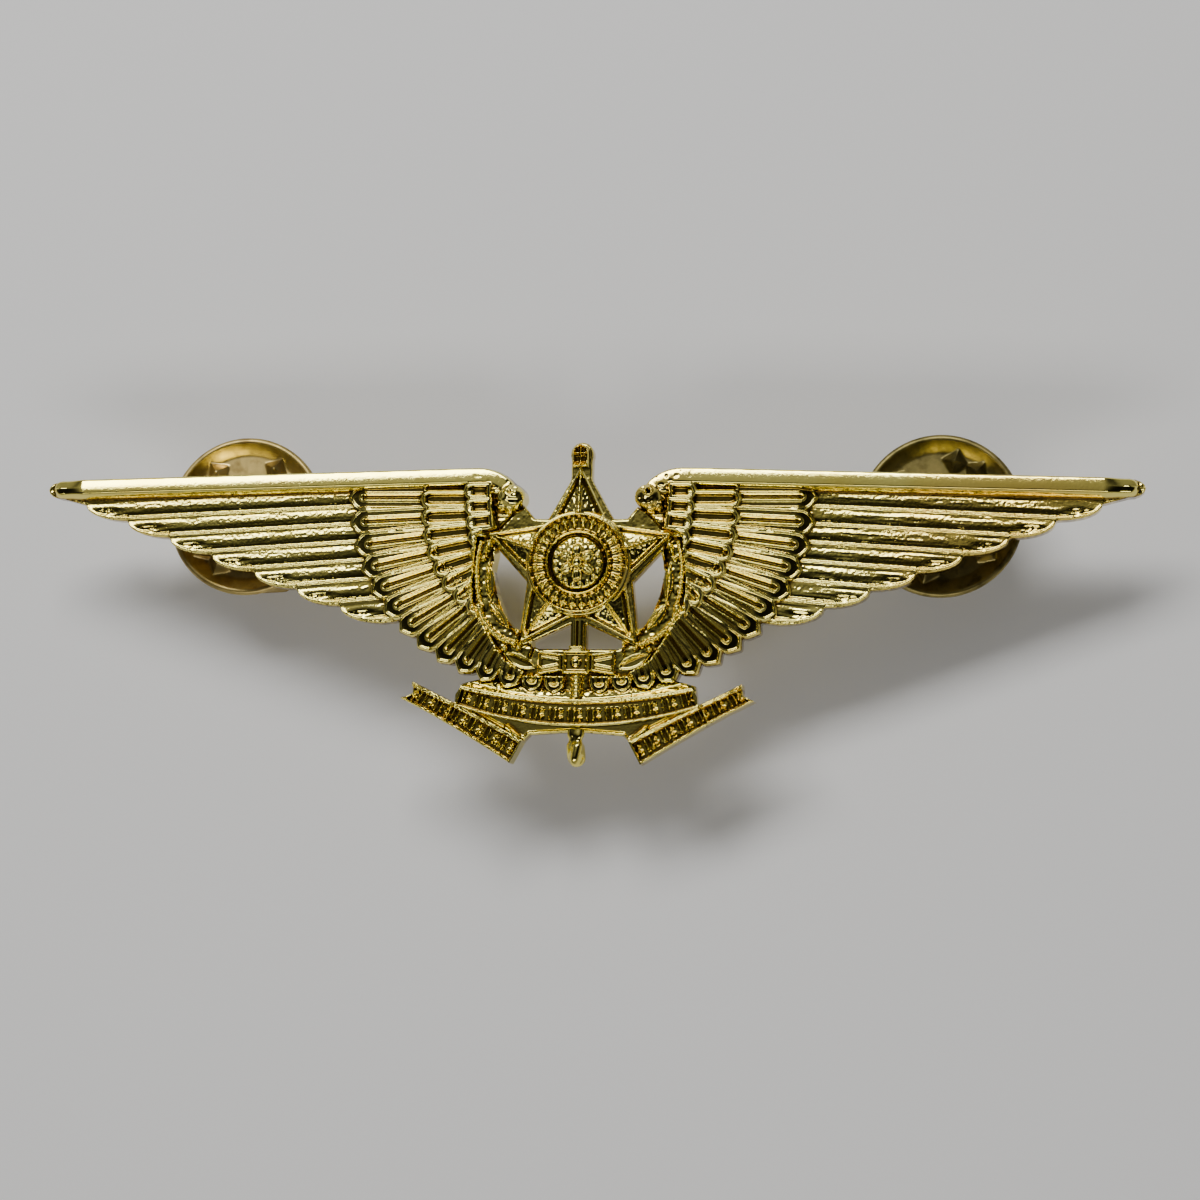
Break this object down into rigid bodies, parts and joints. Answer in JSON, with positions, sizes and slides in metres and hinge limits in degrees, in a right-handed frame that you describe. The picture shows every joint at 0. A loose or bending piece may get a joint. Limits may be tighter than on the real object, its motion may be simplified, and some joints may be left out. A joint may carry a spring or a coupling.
{
  "type": "pilot wings pin",
  "caption": "Gold-plated winged star badge with relief feathers and ribbon scrolls, worn on cloth by two pointed posts with squeeze-to-release butterfly clutches.",
  "frame": {"origin": "on the table that the clutch levers stand on, below the middle of the badge's outline", "axes": "+X along the wingspan, to the viewer's right, +Y towards the star's top point, +Z out of the badge's face"},
  "size_m": [0.078, 0.0238, 0.0103],
  "materials": {
    "gold_plate": "bright gold plate over cast relief, polished on the leading bars, stippled in the recesses",
    "post_brass": "drawn wire, plated with the badge's back",
    "solder": "thin plated solder fillet",
    "left_clutch_brass": "stamped sheet brass, satin with olive and brown tarnish",
    "right_clutch_brass": "stamped sheet brass, heavily toned to dark olive",
    "lever_brass": "stamped sheet brass, satin",
    "spring_steel": "hard drawn wire"
  },
  "bodies": {
    "badge": {"left_wing": "gold_plate", "right_wing": "gold_plate", "center_plate": "gold_plate", "star": "gold_plate", "medallion_ring": "gold_plate", "medallion_boss": "gold_plate", "sword": "gold_plate", "guard_bow": "gold_plate", "left_branch": "gold_plate", "right_branch": "gold_plate", "center_ribbon": "gold_plate", "left_ribbon": "gold_plate", "right_ribbon": "gold_plate", "left_post": "post_brass", "right_post": "post_brass", "left_solder": "solder", "right_solder": "solder"},
    "left_spring": {"left_jaw_spring": "spring_steel"},
    "left_clutch": {"left_disc": "left_clutch_brass", "left_cage": "left_clutch_brass"},
    "left_lower": {"left_lower_lever": "lever_brass"},
    "left_upper": {"left_upper_lever": "lever_brass"},
    "right_spring": {"right_jaw_spring": "spring_steel"},
    "right_clutch": {"right_disc": "right_clutch_brass", "right_cage": "right_clutch_brass"},
    "right_lower": {"right_lower_lever": "lever_brass"},
    "right_upper": {"right_upper_lever": "lever_brass"}
  },
  "joints": [
    {"name": "left_clutch_pull", "type": "slide", "parent": "badge", "child": "left_spring", "axis": [0, 0, -1], "range_m": [0, 0.009]},
    {"name": "left_clutch_spin", "type": "hinge", "parent": "left_spring", "child": "left_clutch", "pos_m": [-0.025, 0.00613, 0.0056], "axis": [0, 0, 1], "continuous": true},
    {"name": "left_lower_squeeze", "type": "hinge", "parent": "left_clutch", "child": "left_lower", "pos_m": [-0.02486, 0.00343, 0.0027], "axis": [0.9986, 0.0523, 0], "range_deg": [0, 12], "stiffness_Nm_per_rad": 0.003, "springref_deg": -8.59},
    {"name": "left_upper_squeeze", "type": "hinge", "parent": "left_clutch", "child": "left_upper", "pos_m": [-0.02514, 0.00882, 0.0027], "axis": [-0.9986, -0.0523, 0], "range_deg": [0, 12]},
    {"name": "right_clutch_pull", "type": "slide", "parent": "badge", "child": "right_spring", "axis": [0, 0, -1], "range_m": [0, 0.009]},
    {"name": "right_clutch_spin", "type": "hinge", "parent": "right_spring", "child": "right_clutch", "pos_m": [0.025, 0.00613, 0.0056], "axis": [0, 0, 1], "continuous": true},
    {"name": "right_lower_squeeze", "type": "hinge", "parent": "right_clutch", "child": "right_lower", "pos_m": [0.02588, 0.00357, 0.0027], "axis": [0.9455, 0.3256, 0], "range_deg": [0, 12], "stiffness_Nm_per_rad": 0.003, "springref_deg": -8.59},
    {"name": "right_upper_squeeze", "type": "hinge", "parent": "right_clutch", "child": "right_upper", "pos_m": [0.02412, 0.00868, 0.0027], "axis": [-0.9455, -0.3256, 0], "range_deg": [0, 12]}
  ],
  "couplings": [
    {"joint": "left_upper_squeeze", "follows": "left_lower_squeeze", "ratio": 1},
    {"joint": "right_upper_squeeze", "follows": "right_lower_squeeze", "ratio": 1}
  ]
}
